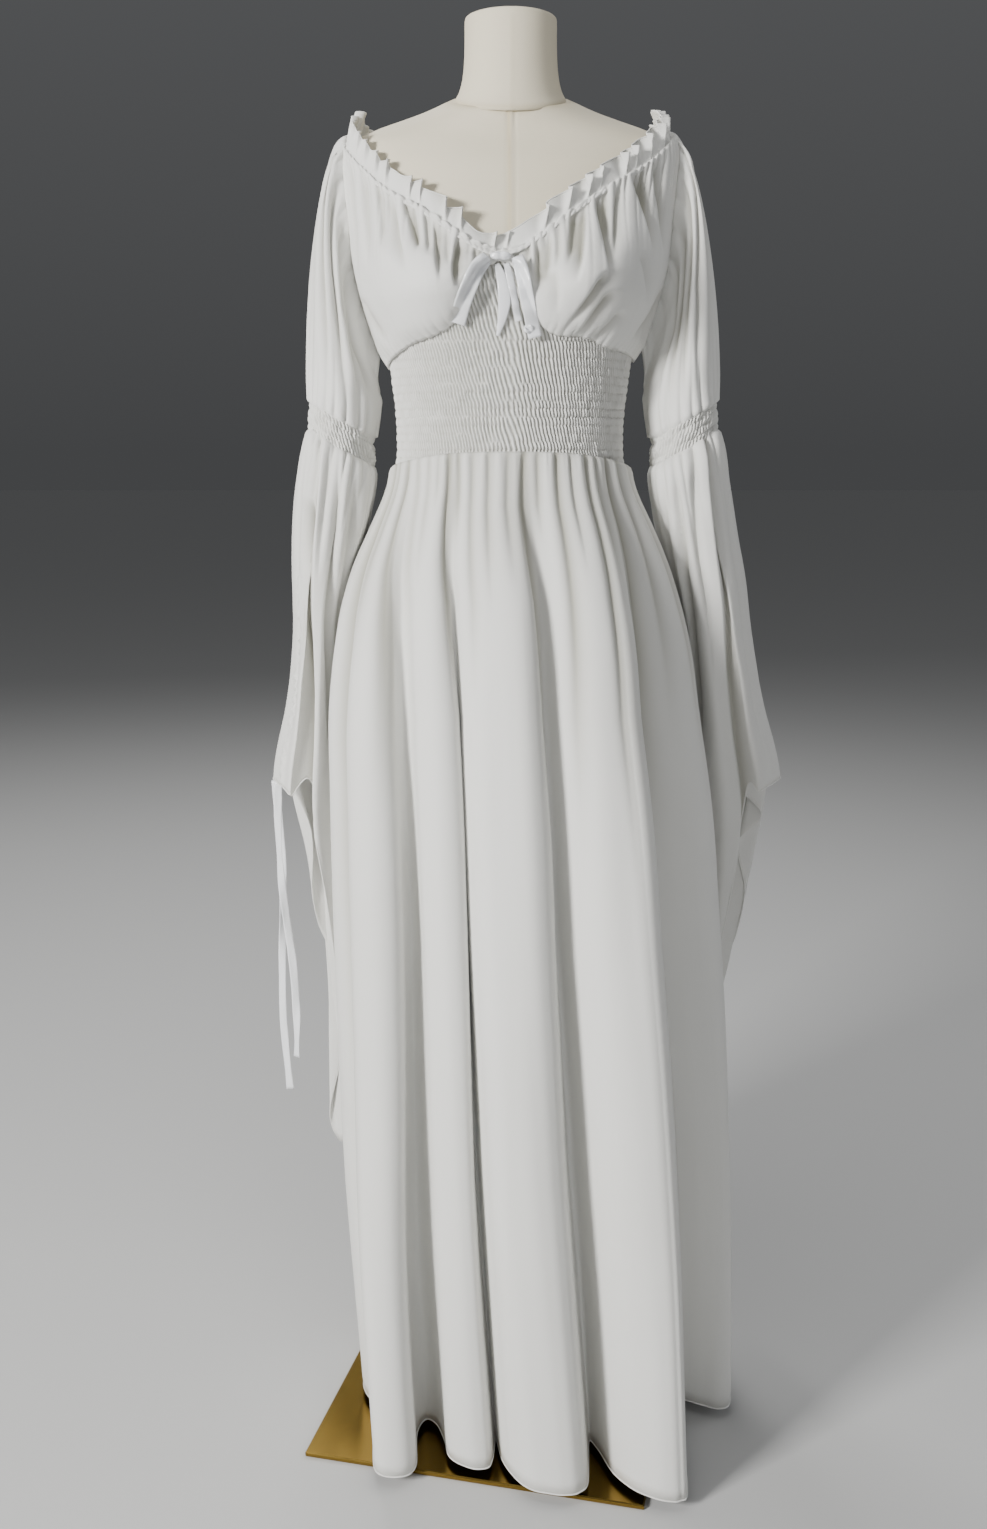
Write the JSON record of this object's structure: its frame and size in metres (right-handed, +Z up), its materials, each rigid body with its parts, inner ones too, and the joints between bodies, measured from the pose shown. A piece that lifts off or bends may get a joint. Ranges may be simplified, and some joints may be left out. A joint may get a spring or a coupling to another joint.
{
  "type": "maxi dress on a dress form",
  "caption": "Off-shoulder peasant maxi dress with a smocked midriff, satin bow and drawstring bell sleeves, on a limbless dress form that stands on a square plate.",
  "frame": {"origin": "middle of the base plate's underside, on the pole's axis", "axes": "+Z up along the pole; the dress's front faces -Y, and +X is on the right of someone who looks at it"},
  "size_m": [0.5801, 0.4689, 1.538],
  "materials": {
    "white_cloth": "matte woven",
    "white_satin": "satin",
    "cream_linen": "matte linen cover",
    "polished_brass": "polished"
  },
  "bodies": {
    "root": {"bodice_back": "white_cloth", "bodice_front_left": "white_cloth", "bodice_front_right": "white_cloth", "bow_knot": "white_satin", "bow_loop_left": "white_satin", "bow_loop_right": "white_satin", "bow_tail_middle": "white_satin", "bow_tail_right": "white_satin", "elbow_band_left": "white_cloth", "elbow_band_right": "white_cloth", "form_neck": "cream_linen", "form_torso": "cream_linen", "lower_sleeve_left": "white_cloth", "lower_sleeve_right": "white_cloth", "midriff": "white_cloth", "neck_ruffle": "white_cloth", "skirt_back": "white_cloth", "skirt_front": "white_cloth", "sleeve_ribbon_left_long": "white_satin", "sleeve_ribbon_left_short": "white_satin", "stand_base": "polished_brass", "stand_pole": "polished_brass", "upper_sleeve_left": "white_cloth", "upper_sleeve_right": "white_cloth"}
  },
  "joints": []
}
